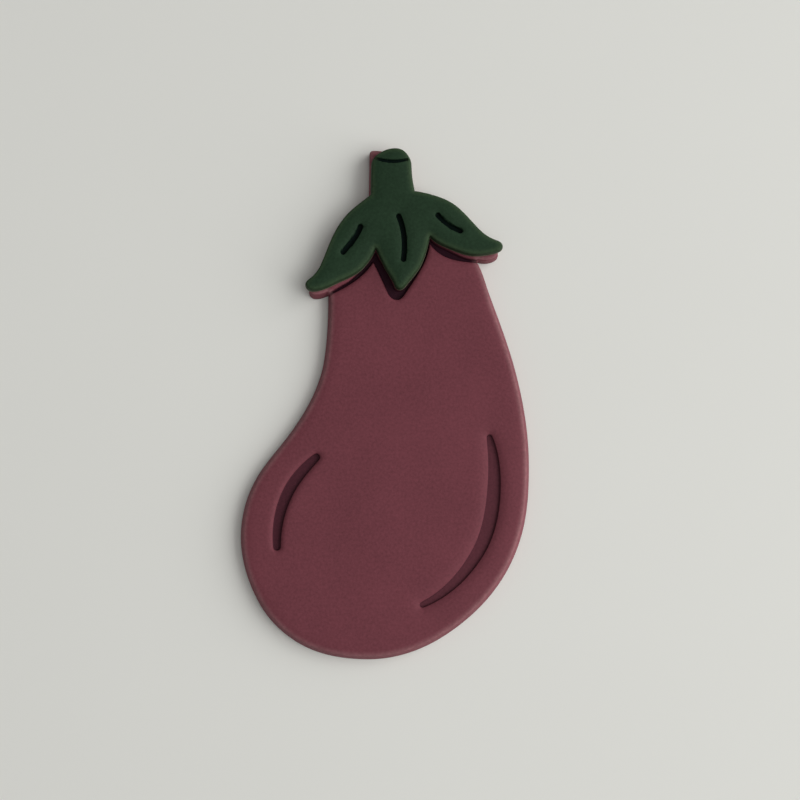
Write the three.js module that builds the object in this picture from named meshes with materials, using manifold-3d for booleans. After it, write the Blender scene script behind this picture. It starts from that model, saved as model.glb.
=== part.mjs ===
// A flat eggplant cut from rolled sugar paste. A plum-red base sheet has the whole outline, two
// pressed highlights and a pressed border below the calyx. A green calyx with its stem, one piece
// with four pressed lines, lies on the upper end of the base.
//
// Millimetres. +X is to the right, +Y points to the stem, +Z is up. The origin is on the resting
// face, under the middle of the whole outline.

import * as THREE from "three";
import { mergeVertices } from "three/addons/utils/BufferGeometryUtils.js";
import Module from "manifold-3d";

const wasm = await Module();
wasm.setup();

// Overall size
const LENGTH = 100;
const WIDTH = 56.2;
const BASE_THICK = 3.25;
const CALYX_THICK = 2.25;
const TOP = BASE_THICK + CALYX_THICK;
const END_Y = LENGTH / 2;
const SIDE_X = WIDTH / 2;

// Rounded upper edges: how far the round goes down and in from the edge
const BASE_ROUND = { down: 0.9, inward: 1.1 };
const BASE_RIM_ROUND = { down: 0.6, inward: 0.5 };
const CALYX_ROUND = { down: 0.8, inward: 0.8 };
const ROUND_STEPS = 3;

// Pressed lines: depth below the face, and the round where wall and floor meet
const HIGHLIGHT_DEPTH = 1.1;
const BORDER_DEPTH = 1.4;
const VEIN_DEPTH = 1.2;
const STEM_LINE_DEPTH = 0.7;
const FLOOR_ROUND = 0.35;
const THIN_FLOOR_ROUND = 0.2;
const FLOOR_ROUND_STEPS = 2;

// Steps along each stretch between two knots
const BODY_STEPS = 6;
const CALYX_STEPS = 4;
const LINE_STEPS = 12;
const CAP_STEPS = 4;

// Outline knots are [x, y, heading], or [x, y, heading in, heading out] at a corner. Headings are
// degrees anticlockwise from +X, and each outline runs anticlockwise.

// The body, from its left side round the blossom end to its right side, closed below the calyx
const BODY = [
  [-11.3, 24.5, -115, -90],
  [-12.1, 8.0, -99],
  [-19.5, -7.4, -127],
  [-25.4, -15.5, -118],
  [-SIDE_X, -26.2, -90],
  [-24.5, -39.1, -61],
  [-17.55, -46.4, -33],
  [-3.2, -END_Y, 0],
  [11.15, -45.7, 32],
  [21.4, -36.5, 53],
  [26.85, -25.0, 76],
  [SIDE_X, -12.1, 90],
  [25.7, 5.6, 104],
  [19.4, 24.6, 109],
  [16.7, 30.2, 121, 140],
  [4.0, 36.0, 180],
];

// The calyx and stem that are pressed out of the base: left sepal, middle sepal, right sepal, stem
const BASE_CALYX = [
  [-6.5, 36.7, -137],
  [-9.8, 31.6, -114],
  [-12.2, 26.0, -116],
  [-14.0, 23.5, -137],
  [-15.15, 21.8, -90],
  [-13.8, 20.45, 0],
  [-8.1, 23.0, 27],
  [-4.6, 26.1, 47],
  [-1.95, 29.5, 66, -66],
  [0.5, 25.1, -63],
  [1.65, 22.65, -68],
  [2.65, 21.75, 0],
  [3.9, 22.85, 52],
  [6.4, 26.2, 62],
  [8.6, 32.2, 78, -48],
  [11.5, 30.2, -24],
  [17.1, 27.95, -6],
  [20.1, 27.6, 8],
  [22.3, 29.3, 95],
  [21.2, 30.4, 163],
  [18.1, 32.2, 135],
  [12.6, 37.8, 145],
  [8.3, 39.8, 163],
  [4.7, 40.6, 168, 100],
  [4.2, 46.0, 97],
  [1.0, 49.75, 177],
  [-2.4, END_Y, 180],
  [-3.25, 49.3, -90],
  [-3.35, 40.0, -90, -142],
];

// The pressed border's edge on the body, from left to right. The last four knots close it round
// the calyx, clear of the base.
const BORDER = [
  [-5.45, 24.1, 38],
  [-2.4, 27.4, 55, -62],
  [0.5, 21.2, -66],
  [2.3, 19.9, 0],
  [4.15, 21.6, 56],
  [7.0, 26.1, 61],
  [8.7, 31.2, 83, -57],
  [12.3, 28.3, -21],
  [17.8, 27.3, -5],
  [26.0, 27.1, 0, 90],
  [26.0, 56.0, 90, 180],
  [-18.0, 56.0, 180, -90],
  [-18.0, 18.0, -90, 22],
];

// The green layer: left sepal, middle sepal, right sepal, stem
const CALYX = [
  [-6.9, 37.4, -137],
  [-10.4, 32.35, -115],
  [-12.7, 26.7, -114],
  [-14.4, 24.3, -137],
  [-15.7, 22.7, -90],
  [-14.25, 21.35, 0],
  [-8.5, 23.4, 24],
  [-4.5, 25.8, 46],
  [-1.9, 29.7, 68, -64],
  [0.2, 25.4, -60],
  [1.75, 22.6, -72],
  [2.8, 21.65, 0],
  [4.4, 22.9, 52],
  [7.0, 26.5, 64],
  [8.8, 32.1, 76, -48],
  [12.1, 30.0, -22],
  [17.7, 28.4, 0],
  [21.5, 28.9, 14],
  [23.1, 30.4, 95],
  [21.95, 31.5, 161],
  [18.95, 33.3, 136],
  [13.5, 38.75, 145],
  [9.0, 40.7, 163],
  [5.8, 41.4, 168, 100],
  [5.25, 45.0, 94],
  [5.1, 47.2, 98],
  [4.0, 49.2, 135],
  [1.9, END_Y, 180],
  [-1.6, 48.75, -145],
  [-2.8, 46.8, -95],
  [-2.95, 40.6, -92, -142],
];

// Pressed lines: centre knots, width at the ends, greatest width, and the power that sets how far
// along the line that lies: in the middle for 1, nearer the start below that
const RIGHT_HIGHLIGHT = {
  knots: [[20.3, -7.2, -76], [21.15, -16.0, -92], [17.8, -29.65, -121], [7.2, -39.5, -156]],
  end: 1.1,
  middle: 2.65,
  skew: 0.75,
};
const LEFT_HIGHLIGHT = {
  knots: [[-13.4, -11.1, -138], [-18.75, -17.7, -117], [-20.9, -28.4, -87]],
  end: 1.45,
  middle: 2.15,
  skew: 0.75,
};
const VEINS = [
  { knots: [[-4.9, 34.0, -108], [-8.25, 28.95, -128]], end: 1.05, middle: 1.1 },
  { knots: [[2.6, 36.1, -66], [3.55, 27.5, -97]], end: 1.0, middle: 1.0 },
  { knots: [[10.3, 36.3, -50], [14.7, 33.15, -22]], end: 1.0, middle: 0.95 },
];
const STEM_LINE = {
  knots: [[-2.3, 47.85, -22], [1.3, 47.05, -3], [4.3, 47.5, 16]],
  end: 0.5,
  middle: 0.65,
};

const PLUM = { color: 0x66373f, roughness: 0.62, metalness: 0 };
const LEAF = { color: 0x22301f, roughness: 0.55, metalness: 0 };

// The cubic from one knot to the next. Its handles make it a circular arc where the two headings
// allow one.
function stretch(knot, next) {
  const from = new THREE.Vector2(knot[0], knot[1]);
  const to = new THREE.Vector2(next[0], next[1]);
  const leave = THREE.MathUtils.degToRad(knot.at(-1));
  const arrive = THREE.MathUtils.degToRad(next[2]);
  const turn = Math.atan2(Math.sin(arrive - leave), Math.cos(arrive - leave));
  const handle = from.distanceTo(to) / (3 * Math.cos(turn / 4) ** 2);
  const out = new THREE.Vector2(Math.cos(leave), Math.sin(leave)).multiplyScalar(handle);
  const back = new THREE.Vector2(Math.cos(arrive), Math.sin(arrive)).multiplyScalar(-handle);
  return new THREE.CubicBezierCurve(from, out.add(from), back.add(to), to);
}

// A closed outline through its knots
function outline(knots) {
  const shape = new THREE.Shape();
  knots.forEach((knot, i) => shape.curves.push(stretch(knot, knots[(i + 1) % knots.length])));
  return shape;
}

// The outline of a pressed line: a band along its centre knots, narrowest at its half round ends
function band({ knots, end, middle, skew = 1 }) {
  const path = new THREE.CurvePath();
  knots.slice(1).forEach((next, i) => path.add(stretch(knots[i], next)));
  const halfWidth = (t) => (end + (middle - end) * Math.sin(Math.PI * t ** skew)) / 2;
  const side = (t, angle) => {
    const tangent = path.getTangentAt(t);
    return path.getPointAt(t).add(tangent.rotateAround(new THREE.Vector2(), angle)
      .multiplyScalar(halfWidth(t)));
  };
  const points = [];
  for (let i = 0; i <= LINE_STEPS; i++) points.push(side(i / LINE_STEPS, -Math.PI / 2));
  for (let i = 1; i < CAP_STEPS; i++) points.push(side(1, Math.PI * (i / CAP_STEPS - 0.5)));
  for (let i = LINE_STEPS; i >= 0; i--) points.push(side(i / LINE_STEPS, Math.PI / 2));
  for (let i = 1; i < CAP_STEPS; i++) points.push(side(0, Math.PI * (i / CAP_STEPS + 0.5)));
  return new THREE.Shape(points);
}

// A closed geometry as a solid that can be joined and cut
function solid(geometry) {
  geometry.deleteAttribute("normal");
  geometry.deleteAttribute("uv");
  const merged = mergeVertices(geometry);
  return new wasm.Manifold(new wasm.Mesh({
    numProp: 3,
    vertProperties: merged.attributes.position.array,
    triVerts: new Uint32Array(merged.index.array),
  }));
}

// A sheet from bottom to top with a square lower edge and a rounded upper edge
function sheet(shape, bottom, top, round, steps) {
  const geometry = new THREE.ExtrudeGeometry(shape, {
    depth: top - bottom,
    bevelThickness: round.down,
    bevelSize: round.inward,
    bevelOffset: -round.inward,
    bevelSegments: ROUND_STEPS,
    curveSegments: steps,
  });
  geometry.translate(0, 0, bottom - round.down);
  const below = new THREE.BoxGeometry(2 * LENGTH, 2 * LENGTH, LENGTH);
  below.translate(0, 0, bottom - LENGTH / 2);
  return solid(geometry).subtract(solid(below));
}

// The space of a pressed line: from its floor to above the face, rounded where it meets the floor
function press(shape, floor, round) {
  const geometry = new THREE.ExtrudeGeometry(shape, {
    depth: TOP,
    bevelThickness: round,
    bevelSize: round,
    bevelOffset: -round,
    bevelSegments: FLOOR_ROUND_STEPS,
    curveSegments: CALYX_STEPS,
  });
  geometry.translate(0, 0, floor + round);
  return solid(geometry);
}

function piece(name, body, finish) {
  const { vertProperties, triVerts } = body.getMesh();
  const geometry = new THREE.BufferGeometry();
  geometry.setAttribute("position", new THREE.BufferAttribute(vertProperties, 3));
  geometry.setIndex(new THREE.BufferAttribute(triVerts, 1));
  geometry.computeVertexNormals();
  const mesh = new THREE.Mesh(geometry, new THREE.MeshStandardMaterial(finish));
  mesh.name = name;
  return mesh;
}

// The border is pressed into the body down to its floor, and the base's calyx stands up inside it
function baseSheet() {
  const highlightFloor = BASE_THICK - HIGHLIGHT_DEPTH;
  const body = sheet(outline(BODY), 0, BASE_THICK, BASE_ROUND, BODY_STEPS)
    .subtract(press(outline(BORDER), BASE_THICK - BORDER_DEPTH, FLOOR_ROUND))
    .subtract(press(band(RIGHT_HIGHLIGHT), highlightFloor, FLOOR_ROUND))
    .subtract(press(band(LEFT_HIGHLIGHT), highlightFloor, FLOOR_ROUND));
  const calyx = sheet(outline(BASE_CALYX), 0, BASE_THICK, BASE_RIM_ROUND, CALYX_STEPS);
  return piece("base_sheet", body.add(calyx), PLUM);
}

function calyxLayer() {
  let layer = sheet(outline(CALYX), BASE_THICK, TOP, CALYX_ROUND, CALYX_STEPS)
    .subtract(press(band(STEM_LINE), TOP - STEM_LINE_DEPTH, THIN_FLOOR_ROUND));
  for (const vein of VEINS) {
    layer = layer.subtract(press(band(vein), TOP - VEIN_DEPTH, FLOOR_ROUND));
  }
  return piece("calyx_layer", layer, LEAF);
}

const eggplant = new THREE.Group();
eggplant.add(baseSheet(), calyxLayer());

export default eggplant;
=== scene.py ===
"""A flat eggplant cut from rolled sugar paste, lying on a pale surface in soft light from its right.

Two pieces of paste lie one on the other. The base is one plum-red sheet with the whole outline, two
pressed highlights and a pressed border round its calyx. The green layer on top of it is the calyx
with its stem, and has three pressed veins and a thin pressed line.

Every upper face is a height over the plane. It starts level, drops in a soft round towards the cut
edge and falls into each pressed line, all worked out from signed distances to the outlines. Sizes
and places on the object are millimetres, and become metres when a mesh is made. Those of the lights
and the camera are metres.
"""

import logging
import math
from dataclasses import dataclass, field
from enum import Enum

import bpy
import numpy as np
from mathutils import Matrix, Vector
from mathutils.geometry import delaunay_2d_cdt


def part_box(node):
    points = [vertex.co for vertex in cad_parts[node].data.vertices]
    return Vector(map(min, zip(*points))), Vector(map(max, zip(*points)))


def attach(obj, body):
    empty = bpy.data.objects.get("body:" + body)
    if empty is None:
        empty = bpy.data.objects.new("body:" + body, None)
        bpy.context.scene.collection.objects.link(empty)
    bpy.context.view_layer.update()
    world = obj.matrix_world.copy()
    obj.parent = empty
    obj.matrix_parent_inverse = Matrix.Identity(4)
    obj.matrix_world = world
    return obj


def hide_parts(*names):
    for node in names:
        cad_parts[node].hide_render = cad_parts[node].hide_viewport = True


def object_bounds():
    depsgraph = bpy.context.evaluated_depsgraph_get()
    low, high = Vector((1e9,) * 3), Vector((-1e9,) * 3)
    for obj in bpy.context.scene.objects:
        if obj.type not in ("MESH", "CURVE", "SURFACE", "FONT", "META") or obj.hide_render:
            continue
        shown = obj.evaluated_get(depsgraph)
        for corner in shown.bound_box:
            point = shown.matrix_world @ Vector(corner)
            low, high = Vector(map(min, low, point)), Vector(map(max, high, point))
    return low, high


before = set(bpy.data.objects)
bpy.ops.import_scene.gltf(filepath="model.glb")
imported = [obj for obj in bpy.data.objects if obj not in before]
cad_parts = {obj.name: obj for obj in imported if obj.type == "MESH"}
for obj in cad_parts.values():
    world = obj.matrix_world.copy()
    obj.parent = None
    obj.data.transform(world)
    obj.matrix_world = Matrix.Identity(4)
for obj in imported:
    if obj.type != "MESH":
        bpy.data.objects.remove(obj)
CAD_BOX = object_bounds()

LOG = logging.getLogger("paste_eggplant")
MM = 0.001
BASE_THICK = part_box("base_sheet")[1].z / MM
TOTAL_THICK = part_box("calyx_layer")[1].z / MM
END_Y = CAD_BOX[1].y / MM
SIDE_X = CAD_BOX[1].x / MM

# How finely cubics are measured and line ends divided, how far a ring's points may stray, the most
# cells worked out at once, and the sizes that count as nothing
CUBIC_SAMPLES = 65
LEAST_END_STEPS = 4
RING_SLACK = (0.004, 0.02)
MOST_CELLS = 2_000_000
LEAST_RISE = 1e-12
SAME_PLACE = 1e-7
EMPTY_AREA = 1e-9

# Outline knots are (x, y, heading), or (x, y, heading in, heading out) at a corner. Headings are
# degrees anticlockwise from +X, and each outline runs anticlockwise.
Knot = tuple[float, ...]

BODY: list[Knot] = [
    (-11.3, 24.5, -115, -90),
    (-12.1, 8.0, -99),
    (-19.5, -7.4, -127),
    (-25.4, -15.5, -118),
    (-SIDE_X, -26.2, -90),
    (-24.5, -39.1, -61),
    (-17.55, -46.4, -33),
    (-3.2, -END_Y, 0),
    (11.15, -45.7, 32),
    (21.4, -36.5, 53),
    (26.85, -25.0, 76),
    (SIDE_X, -12.1, 90),
    (25.7, 5.6, 104),
    (19.4, 24.6, 109),
    (16.7, 30.2, 121, 140),
    (4.0, 36.0, 180),
]

BASE_CALYX: list[Knot] = [
    (-6.5, 36.7, -137),
    (-9.8, 31.6, -114),
    (-12.2, 26.0, -116),
    (-14.0, 23.5, -137),
    (-15.15, 21.8, -90),
    (-13.8, 20.45, 0),
    (-8.1, 23.0, 27),
    (-4.6, 26.1, 47),
    (-1.95, 29.5, 66, -66),
    (0.5, 25.1, -63),
    (1.65, 22.65, -68),
    (2.65, 21.75, 0),
    (3.9, 22.85, 52),
    (6.4, 26.2, 62),
    (8.6, 32.2, 78, -48),
    (11.5, 30.2, -24),
    (17.1, 27.95, -6),
    (20.1, 27.6, 8),
    (22.3, 29.3, 95),
    (21.2, 30.4, 163),
    (18.1, 32.2, 135),
    (12.6, 37.8, 145),
    (8.3, 39.8, 163),
    (4.7, 40.6, 168, 100),
    (4.2, 46.0, 97),
    (1.0, 49.75, 177),
    (-2.4, END_Y, 180),
    (-3.25, 49.3, -90),
    (-3.35, 40.0, -90, -142),
]

# The last four knots close the border round the calyx, clear of the base
BORDER: list[Knot] = [
    (-5.45, 24.1, 38),
    (-2.4, 27.4, 55, -62),
    (0.5, 21.2, -66),
    (2.3, 19.9, 0),
    (4.15, 21.6, 56),
    (7.0, 26.1, 61),
    (8.7, 31.2, 83, -57),
    (12.3, 28.3, -21),
    (17.8, 27.3, -5),
    (26.0, 27.1, 0, 90),
    (26.0, 56.0, 90, 180),
    (-18.0, 56.0, 180, -90),
    (-18.0, 18.0, -90, 22),
]

CALYX: list[Knot] = [
    (-6.9, 37.4, -137),
    (-10.4, 32.35, -115),
    (-12.7, 26.7, -114),
    (-14.4, 24.3, -137),
    (-15.7, 22.7, -90),
    (-14.25, 21.35, 0),
    (-8.5, 23.4, 24),
    (-4.5, 25.8, 46),
    (-1.9, 29.7, 68, -64),
    (0.2, 25.4, -60),
    (1.75, 22.6, -72),
    (2.8, 21.65, 0),
    (4.4, 22.9, 52),
    (7.0, 26.5, 64),
    (8.8, 32.1, 76, -48),
    (12.1, 30.0, -22),
    (17.7, 28.4, 0),
    (21.5, 28.9, 14),
    (23.1, 30.4, 95),
    (21.95, 31.5, 161),
    (18.95, 33.3, 136),
    (13.5, 38.75, 145),
    (9.0, 40.7, 163),
    (5.8, 41.4, 168, 100),
    (5.25, 45.0, 94),
    (5.1, 47.2, 98),
    (4.0, 49.2, 135),
    (1.9, END_Y, 180),
    (-1.6, 48.75, -145),
    (-2.8, 46.8, -95),
    (-2.95, 40.6, -92, -142),
]


class Detail(Enum):
    """How finely the meshes are made: each value multiplies the distances between points."""

    FULL = 1.0
    DRAFT = 2.0


DETAIL = Detail.FULL


def direction(heading: float) -> np.ndarray:
    """Returns the unit vector of a heading in degrees."""
    return np.array([math.cos(math.radians(heading)), math.sin(math.radians(heading))])


def stretch(knot: Knot, following: Knot, spacing: float) -> np.ndarray:
    """Points along the cubic from one knot to the next, evenly spaced.

    The cubic is (1-t)^3 P + 3 (1-t)^2 t A + 3 (1-t) t^2 B + t^3 Q. Its handles A and B lie along the
    headings at chord / (3 cos^2(turn / 4)), which makes it a circular arc where they allow one.

    Args:
        knot: The knot that the cubic leaves.
        following: The knot that it reaches.
        spacing: The distance between points.

    Returns:
        The points with the first knot and without the last, as rows of x and y.
    """
    start, end = np.array(knot[:2]), np.array(following[:2])
    turn = math.remainder(math.radians(following[2] - knot[-1]), math.tau)
    handle = np.linalg.norm(end - start) / (3 * math.cos(turn / 4) ** 2)
    leaving = start + handle * direction(knot[-1])
    reaching = end - handle * direction(following[2])
    t = np.linspace(0, 1, CUBIC_SAMPLES)[:, None]
    fine = ((1 - t) ** 3 * start + 3 * (1 - t) ** 2 * t * leaving
            + 3 * (1 - t) * t ** 2 * reaching + t ** 3 * end)
    run = np.concatenate([[0], np.cumsum(np.linalg.norm(np.diff(fine, axis=0), axis=1))])
    count = max(2, math.ceil(run[-1] / spacing))
    at = np.linspace(0, run[-1], count, endpoint=False)
    return np.stack([np.interp(at, run, fine[:, 0]), np.interp(at, run, fine[:, 1])], axis=1)


@dataclass(frozen=True)
class Loop:
    """A closed line in the plane that runs anticlockwise, with its points as rows of x and y."""

    points: np.ndarray

    @classmethod
    def through(cls, knots: list[Knot], spacing: float) -> "Loop":
        """The closed outline through its knots.

        Args:
            knots: The outline's knots, in order.
            spacing: The distance between points.

        Returns:
            The outline.
        """
        ahead = knots[1:] + knots[:1]
        return cls(np.concatenate([stretch(a, b, spacing) for a, b in zip(knots, ahead)]))

    @classmethod
    def around(cls, first: "Loop", second: "Loop") -> "Loop":
        """The outline of two loops that overlap and cross each other twice.

        Args:
            first: One loop.
            second: The other loop.

        Returns:
            The part of each that lies outside the other, joined end to end.
        """
        parts = []
        for own, other in ((first, second), (second, first)):
            outside = other.depth(own.points) < 0
            begins = int(np.flatnonzero(outside & ~np.roll(outside, 1))[0])
            run = np.roll(own.points, -begins, axis=0)
            parts.append(run[np.roll(outside, -begins)])
        return cls(np.concatenate(parts))

    def depth(self, places: np.ndarray) -> np.ndarray:
        """How far inside the loop each place lies, negative outside.

        It is the least distance to any side of the loop. A place is inside where a ray to the right
        crosses an odd number of sides.

        Args:
            places: Rows of x and y.

        Returns:
            One distance for each place.
        """
        start = self.points
        side = np.roll(start, -1, axis=0) - start
        length2 = (side ** 2).sum(axis=1)
        rise = np.where(side[:, 1] == 0, LEAST_RISE, side[:, 1])
        result = np.empty(len(places))
        block = max(1, MOST_CELLS // len(start))
        for first in range(0, len(places), block):
            x, y = places[first:first + block].T[:, :, None]
            dx, dy = x - start[:, 0], y - start[:, 1]
            share = np.clip((dx * side[:, 0] + dy * side[:, 1]) / length2, 0, 1)
            gap2 = (dx - share * side[:, 0]) ** 2 + (dy - share * side[:, 1]) ** 2
            crossed = (dy < 0) != (dy < side[:, 1])
            right = dx < side[:, 0] * dy / rise
            inside = (crossed & right).sum(axis=1) % 2 == 1
            nearest = np.sqrt(gap2.min(axis=1))
            result[first:first + block] = np.where(inside, nearest, -nearest)
        return result

    def inward(self) -> np.ndarray:
        """The directions into the loop, square to the line between each point's neighbours.

        Returns:
            One unit vector for each point.
        """
        along = np.roll(self.points, -1, axis=0) - np.roll(self.points, 1, axis=0)
        normal = np.stack([-along[:, 1], along[:, 0]], axis=1)
        return normal / np.linalg.norm(normal, axis=1, keepdims=True)

    def ring(self, inset: float) -> np.ndarray:
        """Points that run parallel to the loop, none of them much nearer to another side of it.

        Args:
            inset: How far inside the loop they lie, negative outside.

        Returns:
            The points, across from the loop's own.
        """
        places = self.points + inset * self.inward()
        slack = np.clip(abs(inset) / 4, *RING_SLACK)
        return places[np.abs(self.depth(places) - inset) < slack]


@dataclass(frozen=True)
class Stroke:
    """The mark of one pressed line: a band along a centre line with half round ends."""

    knots: list[Knot]
    end_width: float
    middle_width: float
    skew: float = 1.0

    def loop(self, spacing: float) -> Loop:
        """The band's outline.

        Its width goes from the ends' to the middle's by the sine of half a turn over the centre
        line's length. A skew below 1, the power of the place along it, moves the peak to the start.

        Args:
            spacing: The distance between points along the centre line.

        Returns:
            The closed outline, anticlockwise.
        """
        pieces = [stretch(a, b, spacing) for a, b in zip(self.knots, self.knots[1:])]
        centre = np.concatenate([*pieces, [self.knots[-1][:2]]])
        along = np.gradient(centre, axis=0)
        angle = np.arctan2(along[:, 1], along[:, 0])
        t = np.linspace(0, 1, len(centre))
        fullness = np.sin(np.pi * t ** self.skew)
        half = (self.end_width + (self.middle_width - self.end_width) * fullness) / 2
        steps = max(LEAST_END_STEPS, math.ceil(math.pi * self.end_width / 2 / spacing))
        cap = np.linspace(-np.pi / 2, np.pi / 2, steps + 1)[1:-1]
        back = slice(None, None, -1)
        around = np.concatenate([centre, np.repeat(centre[-1:], len(cap), axis=0),
                                 centre[back], np.repeat(centre[:1], len(cap), axis=0)])
        turned = np.concatenate([angle - np.pi / 2, angle[-1] + cap,
                                 angle[back] + np.pi / 2, angle[0] + np.pi + cap])
        reach = np.concatenate([half, np.full(len(cap), half[-1]),
                                half[back], np.full(len(cap), half[0])])
        return Loop(around + reach[:, None] * np.stack([np.cos(turned), np.sin(turned)], axis=1))


def falloff(distance: np.ndarray, reach: float) -> np.ndarray:
    """A cubic that is 1 at distance 0 and comes to rest at 0 at the reach.

    Args:
        distance: Distances, of which those below 0 count as 0.
        reach: Where the cubic ends.

    Returns:
        (1 - distance / reach)^3, and 0 past the reach.
    """
    return np.clip(1 - np.maximum(distance, 0) / reach, 0, 1) ** 3


def smooth_step(value: np.ndarray) -> np.ndarray:
    """The step 6 t^5 - 15 t^4 + 10 t^3 from 0 to 1, flat at both ends."""
    t = np.clip(value, 0, 1)
    return t ** 3 * (t * (6 * t - 15) + 10)


@dataclass(frozen=True)
class CutEdge:
    """How the face of a sheet comes down to its cut edge: a long soft slope, then a round.

    The round's radius and the lean of the side below it change smoothly from the body's to the
    tips' between two places up the object.
    """

    slope_drop: float
    slope_reach: float
    body_radius: float
    tip_radius: float
    body_lean: float
    tip_lean: float
    change_from: float = 18.0
    change_to: float = 25.0
    arc_rings: int = 7
    slope_rings: int = 5

    def tip_share(self, places: np.ndarray) -> np.ndarray:
        """How much each place belongs to the tips and not to the body, from 0 to 1."""
        return smooth_step((places[:, 1] - self.change_from) / (self.change_to - self.change_from))

    def drop(self, places: np.ndarray, inside: np.ndarray) -> np.ndarray:
        """How far the face has dropped at each place.

        It is the slope's cubic falloff plus a quarter circle, r - sqrt(r^2 - (r - d)^2).

        Args:
            places: Rows of x and y.
            inside: Their distances inside the edge.

        Returns:
            The drop at each place.
        """
        radius = self.body_radius + (self.tip_radius - self.body_radius) * self.tip_share(places)
        short = np.clip(radius - np.maximum(inside, 0), 0, radius)
        arc = radius - np.sqrt(radius ** 2 - short ** 2)
        return self.slope_drop * falloff(inside, self.slope_reach) + arc

    def insets(self) -> list[float]:
        """Where rings of points follow the edge: closely on the round, loosely on the slope.

        Returns:
            The rings' distances inside the edge.
        """
        angles = np.linspace(0, np.pi / 2, self.arc_rings + 1)[1:]
        arc = self.body_radius * (1 - np.cos(angles))
        slope = np.linspace(self.body_radius, self.slope_reach, self.slope_rings + 1)[1:]
        return [float(d) for d in (*arc, *slope)]


@dataclass(frozen=True)
class PressedLine:
    """A line pressed into a face: how deep it goes, and how its lip, wall and foot are formed.

    The tone is how much painted shade, the pressed colour, its floor has, and dark_wall how much the
    foot has.
    """

    depth: float
    lip_drop: float
    lip_reach: float
    tone: float = 1.0
    dark_wall: float = 1.0
    wall: float = 0.14
    foot_reach: float = 0.4
    foot_share: float = 0.15
    wall_rings: int = 6
    sag_rings: int = 7
    foot_rings: int = 4

    def drop(self, inside: np.ndarray) -> np.ndarray:
        """How far the face is pressed down.

        Outside the line the lip sags by a cubic falloff. At its edge a smooth step goes down over
        the wall's width, and inside the foot takes the rest of the depth by a cubic falloff.

        Args:
            inside: Distances inside the line's edge, negative outside.

        Returns:
            The drop at each place.
        """
        lip = self.lip_drop * falloff(-inside, self.lip_reach)
        foot = self.foot_share * (self.depth - self.lip_drop)
        wall = (self.depth - self.lip_drop - foot) * smooth_step(inside / self.wall + 0.5)
        return lip + wall + np.where(inside > 0, foot * (1 - falloff(inside, self.foot_reach)), 0)

    def mark(self, inside: np.ndarray) -> np.ndarray:
        """How much painted shade the pressed line has: 0 outside, dark_wall beside the wall, tone
        further in.
        """
        beside = self.tone + (self.dark_wall - self.tone) * falloff(inside, self.foot_reach)
        return beside * smooth_step(inside / self.wall + 0.5)

    def insets(self) -> list[float]:
        """Where rings of points follow the line: across its wall, out over the lip, in to the floor.

        Returns:
            The rings' distances inside the line's edge, negative outside.
        """
        across = np.linspace(-0.5, 0.5, self.wall_rings) * self.wall
        sag = -np.geomspace(self.wall, self.lip_reach, self.sag_rings)
        foot = np.linspace(self.wall, self.foot_reach, self.foot_rings)
        return [float(d) for d in (*across, *sag, *foot)]


@dataclass(frozen=True)
class Pressing:
    """One pressed line on its face: the line's form and the loop that it is pressed along."""

    form: PressedLine
    loop: Loop
    spared: Loop | None = None

    def inside(self, places: np.ndarray) -> np.ndarray:
        """Distance inside the pressed region, which leaves out the spared loop.

        Args:
            places: Rows of x and y.

        Returns:
            One distance for each place, negative outside the region.
        """
        own = self.loop.depth(places)
        return own if self.spared is None else np.minimum(own, -self.spared.depth(places))

    def rings(self) -> np.ndarray:
        """Points along the region's edges, on both sides of them.

        Returns:
            The points, as rows of x and y.
        """
        found = [self.loop.ring(inset) for inset in self.form.insets()]
        if self.spared is not None:
            found += [self.spared.ring(-inset) for inset in self.form.insets()]
        return np.concatenate(found)


def waves(places: np.ndarray, seed: int, length: float, count: int = 9) -> np.ndarray:
    """A smooth random swell over the plane, from sine waves in seeded directions.

    It is their sum over the root of twice their number.

    Args:
        places: Rows of x and y.
        seed: The seed of the directions, lengths and phases.
        length: The shortest wave length. The longest is 2.5 times that.
        count: The number of waves.

    Returns:
        A value for each place, mostly between -1 and 1.
    """
    rng = np.random.default_rng(seed)
    angle = rng.uniform(0, math.tau, count)
    number = math.tau / (length * rng.uniform(1, 2.5, count))
    phase = rng.uniform(0, math.tau, count)
    across = places @ np.stack([np.cos(angle), np.sin(angle)]) * number + phase
    return np.sin(across).sum(axis=1) / math.sqrt(count / 2) / 2


def clear_of(kept: np.ndarray, more: np.ndarray, gap: float) -> np.ndarray:
    """Drops places that crowd those already there, so that no sliver triangles form.

    The plane is divided in square cells of the gap's size, and a new place is dropped in or beside
    a cell that holds a kept one.

    Args:
        kept: Places that stay.
        more: Places that may be dropped.
        gap: The cell size.

    Returns:
        The new places that are left.
    """
    origin = np.minimum(kept.min(axis=0), more.min(axis=0)) - 2 * gap
    taken_cells = np.floor((kept - origin) / gap).astype(int)
    cells = np.floor((more - origin) / gap).astype(int)
    taken = np.zeros(np.maximum(taken_cells.max(axis=0), cells.max(axis=0)) + 3, bool)
    for dx in (-1, 0, 1):
        for dy in (-1, 0, 1):
            taken[taken_cells[:, 0] + dx, taken_cells[:, 1] + dy] = True
    return more[~taken[cells[:, 0], cells[:, 1]]]


def thinned(places: np.ndarray, gap: float) -> np.ndarray:
    """Keeps the first place in each square cell of the gap's size."""
    _, first = np.unique(np.floor(places / gap).astype(int), axis=0, return_index=True)
    return places[np.sort(first)]


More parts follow.
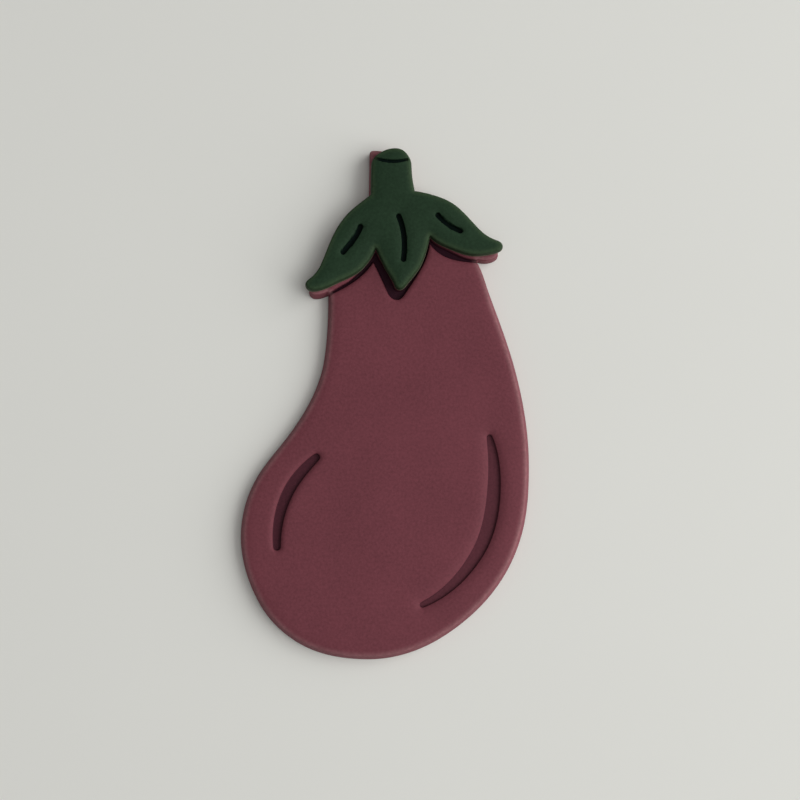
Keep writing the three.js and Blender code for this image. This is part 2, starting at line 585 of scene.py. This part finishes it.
def lattice(low: np.ndarray, high: np.ndarray, spacing: float) -> np.ndarray:
    """Places in rows that are shifted by half a step, so that they form even triangles.

    Args:
        low: The lowest x and y.
        high: The highest x and y.
        spacing: The distance between neighbours.

    Returns:
        Rows of x and y.
    """
    x = np.arange(low[0], high[0], spacing)
    y = np.arange(low[1], high[1], spacing * math.sqrt(3) / 2)
    grid_x, grid_y = np.meshgrid(x, y)
    grid_x = grid_x + spacing / 2 * (np.arange(len(y))[:, None] % 2)
    return np.stack([grid_x.ravel(), grid_y.ravel()], axis=1)


def triangulated(loop: np.ndarray, within: np.ndarray) -> tuple[np.ndarray, np.ndarray]:
    """A flat net of triangles over the inside of a loop.

    Args:
        loop: The loop's points, anticlockwise. They come first in the net, in their order.
        within: The places inside it.

    Returns:
        The net's points as rows of x and y, and its triangles as rows of three, anticlockwise.
    """
    count = len(loop)
    given = np.concatenate([loop, within])
    rim = [(i, (i + 1) % count) for i in range(count)]
    _, _, faces, sources, _, _ = delaunay_2d_cdt(given.tolist(), rim, [], 1, SAME_PLACE)
    index = np.array([source[0] for source in sources])
    triangles = index[np.array(faces)]
    a, b, c = (given[triangles[:, i]] for i in range(3))
    area = (b[:, 0] - a[:, 0]) * (c[:, 1] - a[:, 1]) - (b[:, 1] - a[:, 1]) * (c[:, 0] - a[:, 0])
    triangles[area < 0] = triangles[area < 0][:, ::-1]
    return given, triangles[np.abs(area) > EMPTY_AREA]


@dataclass
class Net:
    """A short way to place and join the nodes of one node tree."""

    tree: bpy.types.NodeTree

    def add(self, kind: str, inputs: dict | None = None, **settings: object) -> bpy.types.Node:
        """Adds a node.

        Args:
            kind: The node's type without its ShaderNode prefix, or NodeGroupInput and the like.
            inputs: Values or output sockets by input name or number.
            settings: The node's own settings.

        Returns:
            The node.
        """
        name = kind if kind.startswith("NodeGroup") else f"ShaderNode{kind}"
        node = self.tree.nodes.new(name)
        for key, value in settings.items():
            setattr(node, key, value)
        for key, value in (inputs or {}).items():
            if isinstance(value, bpy.types.NodeSocket):
                self.tree.links.new(value, node.inputs[key])
            else:
                node.inputs[key].default_value = value
        return node

    def math(self, operation: str, *values: object, clamp: bool = False) -> bpy.types.NodeSocket:
        """Adds a Math node and returns its output.

        Args:
            operation: The node's operation.
            values: Its numbers or sockets, in order.
            clamp: Whether the result stays between 0 and 1.

        Returns:
            The output socket.
        """
        node = self.add("Math", dict(enumerate(values)), operation=operation, use_clamp=clamp)
        return node.outputs[0]

    def noise(self, where: bpy.types.NodeSocket, scale: float, detail: float = 2.0,
              roughness: float = 0.5) -> bpy.types.NodeSocket:
        """Adds a noise texture and returns its value.

        Args:
            where: The coordinates.
            scale: Waves in a metre.
            detail: Octaves.
            roughness: The share of each octave.

        Returns:
            The value socket, near 0.5 on average.
        """
        node = self.add("TexNoise", {"Vector": where, "Scale": scale, "Detail": detail,
                                     "Roughness": roughness})
        return node.outputs[0]


def start_group(name: str, inputs: dict[str, float], outputs: tuple[str, ...]) -> Net:
    """Starts a node group that takes coordinates and numbers, and gives numbers.

    Args:
        name: The group's name.
        inputs: The first values of its number inputs, by name.
        outputs: The names of its outputs.

    Returns:
        The net to add the group's nodes to.
    """
    tree = bpy.data.node_groups.new(name, "ShaderNodeTree")
    sockets = tree.interface
    sockets.new_socket("Vector", in_out="INPUT", socket_type="NodeSocketVector")
    for key, value in inputs.items():
        made = sockets.new_socket(key, in_out="INPUT", socket_type="NodeSocketFloat")
        made.default_value = value
    for key in outputs:
        sockets.new_socket(key, in_out="OUTPUT", socket_type="NodeSocketFloat")
    return Net(tree)


@dataclass(frozen=True)
class PasteGrain:
    """The surface of rolled paste, as a node group with a Height and a Mottle.

    The Height adds fine grain of sugar and starch, lumps and the faint swell that rolling leaves,
    less some shallow pits. The Mottle is a change of tone around 0. Sizes are waves or cells in a
    metre, and shares are how much each part adds.
    """

    name: str = "paste_grain"
    grain_waves: float = 5200
    grain_share: float = 0.35
    lump_waves: float = 1300
    lump_share: float = 0.65
    swell_waves: float = 260
    swell_share: float = 0.9
    pit_cells: float = 900
    pit_slope: float = 5
    pit_share: float = 0.7
    patch_waves: float = 700
    patch_rarity: float = 0.62
    cloud_waves: float = 90
    cloud_share: float = 0.7
    fleck_waves: float = 1900
    fleck_share: float = 1.5

    def group(self) -> bpy.types.ShaderNodeTree:
        """Makes the group.

        Returns:
            The node group.
        """
        net = start_group(self.name, {}, ("Height", "Mottle"))
        where = net.add("NodeGroupInput").outputs["Vector"]
        net.add("NodeGroupOutput", {"Height": self.height(net, where),
                                    "Mottle": self.mottle(net, where)})
        return net.tree

    def height(self, net: Net, where: bpy.types.NodeSocket) -> bpy.types.NodeSocket:
        """Adds the height's nodes.

        Args:
            net: The group's net.
            where: The coordinates.

        Returns:
            The height's socket.
        """
        grain = net.noise(where, self.grain_waves, detail=3, roughness=0.6)
        lumps = net.noise(where, self.lump_waves)
        swell = net.noise(where, self.swell_waves)
        cells = net.add("TexVoronoi", {"Vector": where, "Scale": self.pit_cells})
        depth = net.math("MULTIPLY", cells.outputs["Distance"], self.pit_slope)
        pit = net.math("SUBTRACT", 1, depth, clamp=True)
        patch = net.noise(where, self.patch_waves, detail=0)
        patch = net.math("GREATER_THAN", patch, self.patch_rarity)
        pits = net.math("MULTIPLY", net.math("MULTIPLY", pit, patch), self.pit_share)
        height = net.math("ADD", net.math("MULTIPLY", grain, self.grain_share),
                          net.math("MULTIPLY", lumps, self.lump_share))
        height = net.math("ADD", height, net.math("MULTIPLY", swell, self.swell_share))
        return net.math("SUBTRACT", height, pits)

    def mottle(self, net: Net, where: bpy.types.NodeSocket) -> bpy.types.NodeSocket:
        """Adds the mottle's nodes.

        Args:
            net: The group's net.
            where: The coordinates.

        Returns:
            The mottle's socket.
        """
        cloud = net.math("SUBTRACT", net.noise(where, self.cloud_waves, detail=3, roughness=0.55), 0.5)
        fleck = net.math("SUBTRACT", net.noise(where, self.fleck_waves, roughness=0.6), 0.5)
        return net.math("ADD", net.math("MULTIPLY", cloud, self.cloud_share),
                        net.math("MULTIPLY", fleck, self.fleck_share))


@dataclass(frozen=True)
class CutEdgeTones:
    """Where a cut edge changes colour, as a node group with a Cut and a Dry Sheen.

    The Cut is 1 on the moist cut side and fades out over the cut's width on the face. The Dry Sheen
    is the rest of a longer fade over the rim's width, broken up by noise: a paler rim, partly dry
    paste and partly a painted sheen on the rounded lip. Widths are millimetres, and sizes are waves
    in a metre.
    """

    name: str = "cut_edge"
    ragged_waves: float = 900
    ragged_width: float = 0.25
    worn_waves: float = 500
    worn_least: float = 0.5

    def group(self) -> bpy.types.ShaderNodeTree:
        """Makes the group.

        Returns:
            The node group.
        """
        inputs = {"Edge": 0.0, "Cut Width": 0.3, "Rim Width": 1.0}
        net = start_group(self.name, inputs, ("Cut", "Dry"))
        given = net.add("NodeGroupInput").outputs
        where = given["Vector"]
        ragged = net.math("SUBTRACT", net.noise(where, self.ragged_waves, detail=3, roughness=0.6), 0.5)
        edge = net.math("ADD", given["Edge"], net.math("MULTIPLY", ragged, self.ragged_width))
        cut = self.fade(net, edge, given["Cut Width"])
        rim = self.fade(net, edge, given["Rim Width"])
        worn = net.math("ADD", self.worn_least, net.noise(where, self.worn_waves, detail=3))
        # The paler rim: partly dry paste, partly a painted sheen on the rounded lip
        dry = net.math("SUBTRACT", rim, cut, clamp=True)
        net.add("NodeGroupOutput", {"Cut": cut, "Dry": net.math("MULTIPLY", dry, worn, clamp=True)})
        return net.tree

    @staticmethod
    def fade(net: Net, edge: bpy.types.NodeSocket, width: bpy.types.NodeSocket) -> bpy.types.NodeSocket:
        """Adds a smooth fall from 1 at the edge to 0.

        Args:
            net: The group's net.
            edge: The distance from the edge.
            width: The distance at which the fall ends.

        Returns:
            The result's socket.
        """
        node = net.add("MapRange", {"Value": edge, "From Min": 0.0, "From Max": width,
                                    "To Min": 1.0, "To Max": 0.0}, interpolation_type="SMOOTHSTEP")
        return node.outputs[0]


@dataclass(frozen=True)
class StarchSpecks:
    """Sparse specks of dry starch, as a node group whose Mask is 1 on a speck.

    Each cell of a Voronoi pattern draws a number from 0 to 1. A cell holds a speck where that is
    above the Rarity, and the speck grows with what it is above. Cells are counted in a metre.
    """

    name: str = "starch_specks"
    cells: float = 260
    growth: float = 0.9
    sharpness: float = 30

    def group(self) -> bpy.types.ShaderNodeTree:
        """Makes the group.

        Returns:
            The node group.
        """
        net = start_group(self.name, {"Rarity": 0.9}, ("Mask",))
        given = net.add("NodeGroupInput").outputs
        cells = net.add("TexVoronoi", {"Vector": given["Vector"], "Scale": self.cells})
        drawn = net.add("SeparateColor", {0: cells.outputs["Color"]}).outputs[0]
        size = net.math("MULTIPLY", net.math("SUBTRACT", drawn, given["Rarity"]), self.growth)
        within = net.math("SUBTRACT", size, cells.outputs["Distance"])
        mask = net.math("MULTIPLY", within, self.sharpness, clamp=True)
        net.add("NodeGroupOutput", {"Mask": mask})
        return net.tree


@dataclass(frozen=True)
class PasteFinish:
    """The look of one colour of sugar paste.

    Colours are linear red, green and blue, and lengths are millimetres. The mottle and the change
    of roughness are how far the grain's Mottle moves the tone and the roughness. The pressed colour
    is painted shade in the pressed lines, and the dry colour a paler rim, partly dry paste and partly
    a painted sheen on the rounded lip. The foot colour is a band low on the cut side: a painted
    contact shadow on the plum base, and a pale line of crumbs on the green calyx.
    """

    name: str
    colour: tuple[float, float, float]
    dry_sheen_colour: tuple[float, float, float]
    cut_colour: tuple[float, float, float]
    foot_colour: tuple[float, float, float]
    pressed_shade_colour: tuple[float, float, float]
    roughness: float
    gloss: float
    cut_width: float
    rim_width: float
    rim_strength: float
    mottle: float
    grain_height: float
    speck_rarity: float
    speck_colour: tuple[float, float, float] = (0.62, 0.55, 0.52)
    rough_change: float = 0.12

    def material(self) -> bpy.types.Material:
        """The paste's material, on object coordinates and the mesh's own edge and press values.

        Returns:
            The material.
        """
        made = bpy.data.materials.new(self.name)
        made.use_nodes = True
        made.node_tree.nodes.clear()
        net = Net(made.node_tree)
        where = net.add("TexCoord").outputs["Object"]
        edge = net.add("Attribute", attribute_name="edge_mm").outputs["Fac"]
        pressed = net.add("Attribute", attribute_name="pressed").outputs["Fac"]
        foot = net.add("Attribute", attribute_name="foot").outputs["Fac"]
        grain = net.add("Group", node_tree=bpy.data.node_groups[PasteGrain.name])
        rim = net.add("Group", node_tree=bpy.data.node_groups[CutEdgeTones.name])
        specks = net.add("Group", node_tree=bpy.data.node_groups[StarchSpecks.name])
        for group in (grain, rim, specks):
            net.tree.links.new(where, group.inputs["Vector"])
        net.tree.links.new(edge, rim.inputs["Edge"])
        rim.inputs["Cut Width"].default_value = self.cut_width
        rim.inputs["Rim Width"].default_value = self.rim_width
        specks.inputs["Rarity"].default_value = self.speck_rarity

        # Painted shade in the pressed lines
        toned = self.blend(net, pressed, self.colour, self.pressed_shade_colour)
        # A paler rim, partly dry paste and partly a painted sheen on the rounded lip
        dry = net.math("MULTIPLY", rim.outputs["Dry"], self.rim_strength)
        toned = self.blend(net, dry, toned, self.dry_sheen_colour)
        toned = self.blend(net, rim.outputs["Cut"], toned, self.cut_colour)
        # The foot's band: a painted contact shadow on the plum base, a pale crumb line on the calyx
        toned = self.blend(net, foot, toned, self.foot_colour)
        light = net.math("ADD", 1, net.math("MULTIPLY", grain.outputs["Mottle"], self.mottle))
        varied = net.add("VectorMath", {0: toned, "Scale": light}, operation="SCALE").outputs[0]
        final = self.blend(net, specks.outputs["Mask"], varied, self.speck_colour)
        rough = net.math("ADD", self.roughness,
                         net.math("MULTIPLY", grain.outputs["Mottle"], self.rough_change))
        bump = net.add("Bump", {"Strength": 1.0, "Distance": self.grain_height * MM,
                                "Height": grain.outputs["Height"]})
        shader = net.add("BsdfPrincipled", {"Base Color": final, "Roughness": rough,
                                            "Specular IOR Level": self.gloss,
                                            "Normal": bump.outputs[0]})
        net.add("OutputMaterial", {"Surface": shader.outputs[0]})
        return made

    @staticmethod
    def blend(net: Net, factor: bpy.types.NodeSocket, first: object,
              second: object) -> bpy.types.NodeSocket:
        """Mixes two colours. A Mix node's colours are its inputs 6 and 7 and its output 2.

        Args:
            net: The net to add to.
            factor: The share of the second colour.
            first: A colour or a socket.
            second: A colour or a socket.

        Returns:
            The mixed colour's socket.
        """
        node = net.add("Mix", {0: factor}, data_type="RGBA", blend_type="MIX")
        for number, value in ((6, first), (7, second)):
            if isinstance(value, bpy.types.NodeSocket):
                net.tree.links.new(value, node.inputs[number])
            else:
                node.inputs[number].default_value = (*value, 1)
        return node.outputs[2]


PLUM = PasteFinish(
    name="plum_paste",
    colour=(0.160, 0.0430, 0.057),
    # Partly dry paste, partly a painted sheen on the rounded lip
    dry_sheen_colour=(0.36, 0.185, 0.195),
    cut_colour=(0.21, 0.062, 0.079),
    # Painted contact shadow at the foot of the cut side
    foot_colour=(0.045, 0.015, 0.019),
    # Painted shade in the pressed highlights and the border
    pressed_shade_colour=(0.030, 0.0055, 0.0135),
    roughness=0.60,
    gloss=0.12,
    cut_width=0.20,
    rim_width=1.3,
    rim_strength=0.45,
    mottle=0.40,
    grain_height=0.022,
    speck_rarity=0.985,
)
LEAF = PasteFinish(
    name="green_paste",
    colour=(0.0182, 0.0388, 0.0208),
    # Partly dry paste, partly a painted sheen on the rounded lip
    dry_sheen_colour=(0.060, 0.095, 0.045),
    cut_colour=(0.030, 0.050, 0.026),
    # Pale crumbs along the foot of the cut side
    foot_colour=(0.16, 0.155, 0.105),
    # Painted shade in the veins and the stem's line
    pressed_shade_colour=(0.0012, 0.0060, 0.0048),
    roughness=0.55,
    gloss=0.06,
    cut_width=0.12,
    rim_width=1.2,
    rim_strength=0.38,
    mottle=0.50,
    grain_height=0.022,
    speck_rarity=0.996,
)


@dataclass
class PasteSheet:
    """One piece of rolled paste: an outline, a level face with pressed lines, and a cut side.

    The mesh has points about a spacing apart along its outlines, fine ones near edges and lines,
    and coarse ones elsewhere. Points of one line's rings keep the least gap from each other, and
    the family gap from those of other lines. The girth is the share of the way down at which the
    side is widest, and the foot band is how far up from its round foot the foot's colour goes: a
    painted contact shadow on the base, and a pale line of crumbs on the calyx.
    """

    name: str
    bottom: float
    top: float
    edge: CutEdge
    finish: PasteFinish
    swell: float
    seed: int
    swell_length: float = 9.0
    spacing: float = 0.25
    fine: float = 0.45
    fine_reach: float = 1.5
    coarse: float = 0.9
    least_gap: float = 0.02
    family_gap: float = 0.08
    rim_gap: float = 0.2
    foot_round: float = 0.12
    foot_band: float = 0.35
    foot_steps: int = 4
    girth: float = 0.72
    side_steps: int = 9
    under_spacing: float = 2.0
    under_gap: float = 0.8
    under_rim_gap: float = 0.4
    outline: Loop = field(init=False)
    rim: Loop = field(init=False)
    pressings: list[Pressing] = field(init=False)

    def leaned(self) -> Loop:
        """The face's rim: the outline, set in by the side's lean, which changes as the round does.

        Returns:
            The rim, with a point for each of the outline's.
        """
        share = self.edge.tip_share(self.outline.points)
        lean = self.edge.body_lean + (self.edge.tip_lean - self.edge.body_lean) * share
        return Loop(self.outline.points + lean[:, None] * self.outline.inward())

    def height(self, places: np.ndarray) -> tuple[np.ndarray, np.ndarray, np.ndarray]:
        """The upper face's height.

        Each drop is worked out on its own, and where an edge and a pressed line meet they join as
        the cube root of the sum of their cubes, which stays near the greater of the two. The level
        that they drop from lies below the top by a slow wave of half the swell about its half.

        Args:
            places: Rows of x and y.

        Returns:
            The height, the distance inside the rim, and how much painted shade the pressing has, 0 to
            1.
        """
        inside = self.rim.depth(places)
        cubes = self.edge.drop(places, inside) ** 3
        # The painted shade of the pressed lines, from 0 to 1
        pressed = np.zeros(len(places))
        for pressing in self.pressings:
            reach = pressing.inside(places)
            cubes += pressing.form.drop(reach) ** 3
            pressed = np.maximum(pressed, pressing.form.mark(reach))
        level = self.swell * (0.5 + 0.5 * np.clip(waves(places, self.seed, self.swell_length), -1, 1))
        return self.top - level - np.cbrt(cubes), inside, pressed

    def face_places(self) -> np.ndarray:
        """Where the upper face has points: in rings along its edges and lines, evenly elsewhere.

        Returns:
            The points within the rim, without the rim's own.
        """
        edge_rings = np.concatenate([self.rim.ring(inset) for inset in self.edge.insets()])
        count = len(self.rim.points)
        places = np.concatenate([self.rim.points, thinned(edge_rings, self.least_gap)])
        for pressing in self.pressings:
            new = clear_of(places, thinned(pressing.rings(), self.least_gap), self.family_gap)
            places = np.concatenate([places, new[self.rim.depth(new) > self.family_gap]])
        low, high = places.min(axis=0), places.max(axis=0)
        for spacing in (self.fine, self.coarse):
            new = clear_of(places, lattice(low, high, spacing * DETAIL.value), spacing / 2)
            inside = self.rim.depth(new)
            near = inside
            for pressing in self.pressings:
                near = np.minimum(near, np.abs(pressing.inside(new)))
            wanted = (near < self.fine_reach) | (spacing == self.coarse)
            places = np.concatenate([places, new[wanted & (inside > self.rim_gap)]])
        return places[count:]

    def side_rings(self, crown: np.ndarray) -> np.ndarray:
        """The cut side, carried round the outline from the face's rim to the underside's.

        The side leans out evenly from the rim, reaches the outline at the girth's share of the way
        down and drops straight from there. The last rings turn under in a quarter circle.

        Args:
            crown: The height of the face's rim at each of its points.

        Returns:
            Rings of points by x, y and z, from top to bottom.
        """
        foot = self.bottom + self.foot_round
        inward = self.outline.inward()
        lean = self.rim.points - self.outline.points
        rings = []
        for t in np.linspace(0, 1, self.side_steps + 1)[1:]:
            places = self.outline.points + lean * max(1 - t / self.girth, 0)
            rings.append(np.column_stack([places, crown + (foot - crown) * t]))
        for angle in np.linspace(0, math.pi / 2, self.foot_steps + 1)[1:]:
            places = self.outline.points + self.foot_round * (1 - math.cos(angle)) * inward
            height = np.full(len(crown), foot - self.foot_round * math.sin(angle))
            rings.append(np.column_stack([places, height]))
        return np.array(rings)

    def underside(self, sole: np.ndarray) -> tuple[np.ndarray, np.ndarray]:
        """The flat underside: a net of triangles within its rim that faces down.

        Args:
            sole: The rim's points, anticlockwise, as rows of x and y.

        Returns:
            The points within the rim by x, y and z, and the triangles, which number the rim's
            points first.
        """
        within = lattice(sole.min(axis=0), sole.max(axis=0), self.under_spacing)
        within = clear_of(sole, within, self.under_gap)
        within = within[Loop(sole).depth(within) > self.under_rim_gap]
        flat, triangles = triangulated(sole, within)
        points = np.column_stack([flat, np.full(len(flat), self.bottom)])
        return points[len(sole):], triangles[:, ::-1]

    def build(self) -> bpy.types.Object:
        """Makes the sheet as one closed mesh: the face, the side and the underside.

        Returns:
            The mesh object, with the attributes edge_mm, pressed and foot.
        """
        flat, top_triangles = triangulated(self.rim.points, self.face_places())
        height, inside, pressed = self.height(flat)
        face = np.column_stack([flat, height])
        count = len(self.rim.points)
        rings = self.side_rings(height[:count])
        floor, under_triangles = self.underside(rings[-1][:, :2])

        verts = np.concatenate([face, *rings, floor])
        starts = [np.arange(count)]
        starts += [len(face) + i * count + np.arange(count) for i in range(len(rings))]
        quads = [np.column_stack([upper, lower, np.roll(lower, -1), np.roll(upper, -1)])
                 for upper, lower in zip(starts, starts[1:])]
        inner = len(face) + len(rings) * count + np.arange(len(floor))
        under_faces = np.concatenate([starts[-1], inner])[under_triangles]
        faces = [*top_triangles.tolist(), *np.concatenate(quads).tolist(), *under_faces.tolist()]

        mesh = bpy.data.meshes.new(self.name)
        mesh.from_pydata((verts * MM).tolist(), [], faces)
        mesh.polygons.foreach_set("use_smooth", np.ones(len(faces), bool))
        rest = np.zeros(len(verts) - len(face))
        above = verts[:, 2] - self.bottom
        # The foot's band: a painted contact shadow on the base, a pale crumb line on the calyx
        foot = 1 - smooth_step((above - self.foot_round) / self.foot_band)
        # pressed carries the painted shade of the pressed lines, and foot the band of the foot's colour
        values = {"edge_mm": np.concatenate([np.maximum(inside, 0), rest]),
                  "pressed": np.concatenate([pressed, rest]), "foot": foot}
        for name, numbers in values.items():
            mesh.attributes.new(name, "FLOAT", "POINT").data.foreach_set("value", numbers)
        mesh.update()
        piece = bpy.data.objects.new(self.name, mesh)
        bpy.context.scene.collection.objects.link(piece)
        LOG.info("%s: %d points, %d faces", self.name, len(verts), len(faces))
        return piece

    def place(self, node: str) -> bpy.types.Object:
        """Builds the sheet, dresses it and lets it stand for its node of the frame.

        Args:
            node: The node's name.

        Returns:
            The mesh object.
        """
        piece = self.build()
        piece.data.materials.append(self.finish.material())
        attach(piece, "root")
        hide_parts(node)
        return piece


@dataclass
class BaseSheet(PasteSheet):
    """The plum-red base with the whole outline, two highlights and the border round its calyx."""

    name: str = "base_paste"
    bottom: float = 0.0
    top: float = BASE_THICK
    edge: CutEdge = CutEdge(slope_drop=0.34, slope_reach=3.4, body_radius=0.65, tip_radius=0.3,
                            body_lean=0.45, tip_lean=0.12)
    finish: PasteFinish = PLUM
    swell: float = 0.05
    seed: int = 11
    calyx_spacing: float = 0.2
    # tone and dark_wall set how much painted shade each line's floor and foot get
    right_press: PressedLine = PressedLine(depth=1.05, lip_drop=0.46, lip_reach=2.6, tone=0.45,
                                           dark_wall=0.70, wall=0.10, foot_reach=0.45,
                                           foot_share=0.05)
    left_press: PressedLine = PressedLine(depth=1.1, lip_drop=0.40, lip_reach=1.4, tone=0.68,
                                          dark_wall=0.76, wall=0.10, foot_share=0.05)
    border: PressedLine = PressedLine(depth=1.4, lip_drop=0.34, lip_reach=1.3, wall=0.24)
    right_highlight: Stroke = Stroke(
        [(20.3, -7.2, -76), (21.15, -16.0, -92), (17.8, -29.65, -121), (7.2, -39.5, -156)],
        end_width=1.1, middle_width=2.65, skew=0.75)
    left_highlight: Stroke = Stroke(
        [(-13.4, -11.1, -138), (-18.75, -17.7, -117), (-20.9, -28.4, -87)],
        end_width=1.45, middle_width=2.15, skew=0.75)

    def __post_init__(self) -> None:
        """Works out the outline and the pressed regions."""
        step = self.spacing * DETAIL.value
        body = Loop.through(BODY, step)
        calyx = Loop.through(BASE_CALYX, self.calyx_spacing * DETAIL.value)
        self.outline = Loop.around(body, calyx)
        self.rim = self.leaned()
        self.pressings = [
            Pressing(self.right_press, self.right_highlight.loop(step)),
            Pressing(self.left_press, self.left_highlight.loop(step)),
            Pressing(self.border, Loop.through(BORDER, step), calyx),
        ]


@dataclass
class CalyxLayer(PasteSheet):
    """The green calyx with its stem, three veins and the thin line that marks the stem's cut end."""

    name: str = "calyx_paste"
    bottom: float = BASE_THICK
    top: float = TOTAL_THICK
    edge: CutEdge = CutEdge(slope_drop=0.42, slope_reach=4.2, body_radius=0.4, tip_radius=0.4,
                            body_lean=0.15, tip_lean=0.15)
    finish: PasteFinish = LEAF
    swell: float = 0.05
    seed: int = 23
    spacing: float = 0.2
    # A pale crumb line up the foot of the cut side
    foot_band: float = 0.8
    coarse: float = 0.6
    # The veins and the stem's line take the full painted shade of the pressed colour
    vein: PressedLine = PressedLine(depth=1.2, lip_drop=0.22, lip_reach=2.2, foot_reach=0.3)
    end_line: PressedLine = PressedLine(depth=0.7, lip_drop=0.08, lip_reach=0.9, foot_reach=0.2)
    veins: tuple[Stroke, ...] = (
        Stroke([(-4.9, 34.0, -108), (-8.25, 28.95, -128)], end_width=1.05, middle_width=1.1),
        Stroke([(2.6, 36.1, -66), (3.55, 27.5, -97)], end_width=1.0, middle_width=1.0),
        Stroke([(10.3, 36.3, -50), (14.7, 33.15, -22)], end_width=1.0, middle_width=0.95),
    )
    stem_line: Stroke = Stroke([(-2.3, 47.85, -22), (1.3, 47.05, -3), (4.3, 47.5, 16)],
                               end_width=0.5, middle_width=0.65)

    def __post_init__(self) -> None:
        """Works out the outline and the pressed regions."""
        step = self.spacing * DETAIL.value
        self.outline = Loop.through(CALYX, step)
        self.rim = self.leaned()
        self.pressings = [Pressing(self.vein, stroke.loop(step)) for stroke in self.veins]
        self.pressings.append(Pressing(self.end_line, self.stem_line.loop(step)))


@dataclass(frozen=True)
class SoftBox:
    """A soft lamp: an area light that faces the object.

    The azimuth is degrees anticlockwise from +X, seen from above, and the elevation degrees over
    the floor. Lengths are metres, and the power is watts.
    """

    name: str
    azimuth: float
    elevation: float
    distance: float
    width: float
    height: float
    power: float
    colour: tuple[float, float, float]

    def place(self, aim: Vector) -> bpy.types.Object:
        """Adds the lamp.

        Args:
            aim: The point that it faces, in metres.

        Returns:
            The lamp.
        """
        lamp = bpy.data.lights.new(self.name, "AREA")
        lamp.shape = "RECTANGLE"
        lamp.size = self.width
        lamp.size_y = self.height
        lamp.energy = self.power
        lamp.color = self.colour
        round_by = math.radians(self.azimuth)
        up_by = math.radians(self.elevation)
        away = Vector((math.cos(round_by) * math.cos(up_by),
                       math.sin(round_by) * math.cos(up_by), math.sin(up_by)))
        made = bpy.data.objects.new(self.name, lamp)
        made.location = aim + away * self.distance
        made.rotation_mode = "QUATERNION"
        made.rotation_quaternion = (-away).to_track_quat("-Z", "Y")
        bpy.context.scene.collection.objects.link(made)
        return made


@dataclass(frozen=True)
class Studio:
    """The pale floor, the soft light and the camera, which looks down a few degrees off upright.

    Lengths are metres, apart from the lens and its sensor, which are millimetres as in Blender.
    """

    floor_size: float = 3.0
    floor_colour: tuple[float, float, float] = (0.80, 0.80, 0.77)
    floor_roughness: float = 0.6
    cloud_waves: float = 14
    cloud_change: float = 0.03
    sky_colour: tuple[float, float, float] = (1.0, 1.0, 0.98)
    sky_strength: float = 0.229
    tilt: float = 6.0
    distance: float = 0.29628
    aim: tuple[float, float, float] = (0.00288, 0.00039, 0.0)
    lens: float = 67.7
    sensor: float = 36.0
    clip_start: float = 0.01
    clip_end: float = 10.0
    window: SoftBox = SoftBox("window", azimuth=4, elevation=32, distance=1.7,
                              width=2.3, height=1.65, power=31.6, colour=(1.0, 1.0, 0.98))
    ceiling: SoftBox = SoftBox("ceiling", azimuth=-30, elevation=64, distance=1.5,
                               width=1.2, height=1.2, power=5.0, colour=(1.0, 1.0, 0.98))

    def build(self) -> None:
        """Makes the floor, the lights and the camera."""
        self.floor()
        for lamp in (self.window, self.ceiling):
            lamp.place(Vector())
        self.sky()
        self.camera()
        bpy.context.scene.view_settings.view_transform = "Standard"

    def floor(self) -> bpy.types.Object:
        """Makes the floor, a plain matt sheet below the object with a very faint change of tone.

        Returns:
            The floor.
        """
        half = self.floor_size / 2
        mesh = bpy.data.meshes.new("floor")
        mesh.from_pydata([(-half, -half, 0), (half, -half, 0), (half, half, 0), (-half, half, 0)],
                         [], [(0, 1, 2, 3)])
        made = bpy.data.materials.new("pale_floor")
        made.use_nodes = True
        made.node_tree.nodes.clear()
        net = Net(made.node_tree)
        where = net.add("TexCoord").outputs["Object"]
        cloud = net.noise(where, self.cloud_waves, detail=3)
        change = net.math("MULTIPLY", cloud, self.cloud_change)
        tone = net.math("ADD", 1 - self.cloud_change / 2, change)
        colour = net.add("VectorMath", {0: self.floor_colour, "Scale": tone}, operation="SCALE")
        shader = net.add("BsdfPrincipled", {"Base Color": colour.outputs[0],
                                            "Roughness": self.floor_roughness})
        net.add("OutputMaterial", {"Surface": shader.outputs[0]})
        mesh.materials.append(made)
        piece = bpy.data.objects.new("floor", mesh)
        bpy.context.scene.collection.objects.link(piece)
        return piece

    def sky(self) -> None:
        """Sets an even glow from all round, as of a bright room."""
        world = bpy.data.worlds.new("room")
        world.use_nodes = True
        glow = world.node_tree.nodes["Background"]
        glow.inputs["Color"].default_value = (*self.sky_colour, 1)
        glow.inputs["Strength"].default_value = self.sky_strength
        bpy.context.scene.world = world

    def camera(self) -> bpy.types.Object:
        """Places the camera above the object, moved by its tilt towards the object's lower end.

        Returns:
            The camera.
        """
        lens = bpy.data.cameras.new("camera")
        lens.lens = self.lens
        lens.sensor_width = self.sensor
        lens.clip_start = self.clip_start
        lens.clip_end = self.clip_end
        up = math.radians(90 - self.tilt)
        back = Vector((0, -math.cos(up), math.sin(up)))
        made = bpy.data.objects.new("camera", lens)
        made.location = Vector(self.aim) + back * self.distance
        made.rotation_mode = "QUATERNION"
        made.rotation_quaternion = (-back).to_track_quat("-Z", "Y")
        bpy.context.scene.collection.objects.link(made)
        bpy.context.scene.camera = made
        return made


def main() -> None:
    """Builds the stage, the node groups and the two pieces, and reports each piece."""
    logging.basicConfig(level=logging.INFO, format="%(name)s: %(message)s")
    Studio().build()
    for pattern in (PasteGrain(), CutEdgeTones(), StarchSpecks()):
        pattern.group()
    BaseSheet().place("base_sheet")
    CalyxLayer().place("calyx_layer")


if __name__ == "__main__":
    main()
